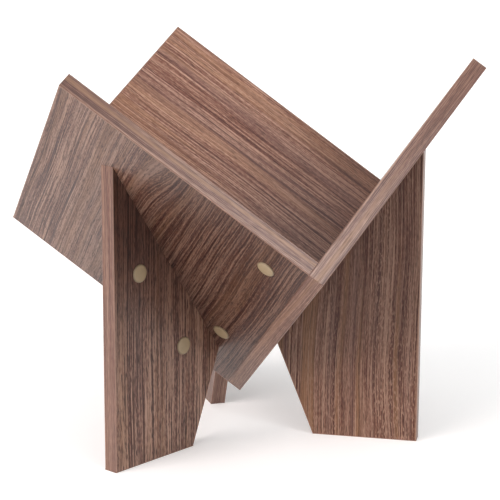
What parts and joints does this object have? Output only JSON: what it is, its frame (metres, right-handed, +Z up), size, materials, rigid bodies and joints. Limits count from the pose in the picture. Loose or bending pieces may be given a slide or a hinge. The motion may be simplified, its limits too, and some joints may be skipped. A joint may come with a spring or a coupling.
{
  "type": "magazine rack",
  "caption": "Free-standing magazine rack: square walnut-faced boards joined as a cube corner that stands on its point, carried by upright tapered legs.",
  "frame": {"origin": "on the floor, under the lowest corner of the boards, where the planes of the legs cross", "axes": "+Z up; -Y towards the open front of the trough; +X to the right as seen from the front"},
  "size_m": [0.4242, 0.4898, 0.3946],
  "materials": {
    "walnut_board": "satin walnut-grain melamine on chipboard",
    "walnut_band": "satin walnut-grain edge band, a little lighter than the faces",
    "cap_plastic": "moulded beige plastic, slightly satin",
    "cam_zinc": "tumbled zinc casting",
    "bolt_steel": "bright zinc plated",
    "beech": "raw fluted beech"
  },
  "bodies": {
    "root": {"left_board": "walnut_board", "right_board": "walnut_board", "back_board": "walnut_board", "left_board_front_band": "walnut_band", "left_board_side_band": "walnut_band", "left_board_rear_band": "walnut_band", "right_board_front_band": "walnut_band", "right_board_top_band": "walnut_band", "right_board_bottom_band": "walnut_band", "right_board_rear_band": "walnut_band", "back_board_side_band": "walnut_band", "back_board_top_band": "walnut_band", "front_left_leg": "walnut_board", "front_right_leg": "walnut_board", "rear_leg": "walnut_board", "front_left_leg_outer_band": "walnut_band", "front_left_leg_inner_band": "walnut_band", "front_left_leg_foot_band": "walnut_band", "front_right_leg_outer_band": "walnut_band", "front_right_leg_inner_band": "walnut_band", "front_right_leg_foot_band": "walnut_band", "rear_leg_outer_band": "walnut_band", "rear_leg_inner_band": "walnut_band", "rear_leg_foot_band": "walnut_band", "left_to_right_cam_locks": "cam_zinc", "left_to_right_bolts": "bolt_steel", "left_to_right_cover_caps": "cap_plastic", "left_to_right_dowels": "beech", "back_to_left_cam_locks": "cam_zinc", "back_to_left_bolts": "bolt_steel", "back_to_left_cover_caps": "cap_plastic", "back_to_left_dowels": "beech", "back_to_right_cam_locks": "cam_zinc", "back_to_right_bolts": "bolt_steel", "back_to_right_cover_caps": "cap_plastic", "back_to_right_dowels": "beech", "front_left_leg_cam_locks": "cam_zinc", "front_left_leg_bolts": "bolt_steel", "front_left_leg_cover_caps": "cap_plastic", "front_left_leg_dowels": "beech", "front_right_leg_cam_locks": "cam_zinc", "front_right_leg_bolts": "bolt_steel", "front_right_leg_cover_caps": "cap_plastic", "front_right_leg_dowels": "beech", "rear_leg_cam_locks": "cam_zinc", "rear_leg_bolts": "bolt_steel", "rear_leg_cover_caps": "cap_plastic", "rear_leg_dowels": "beech"}
  },
  "joints": []
}
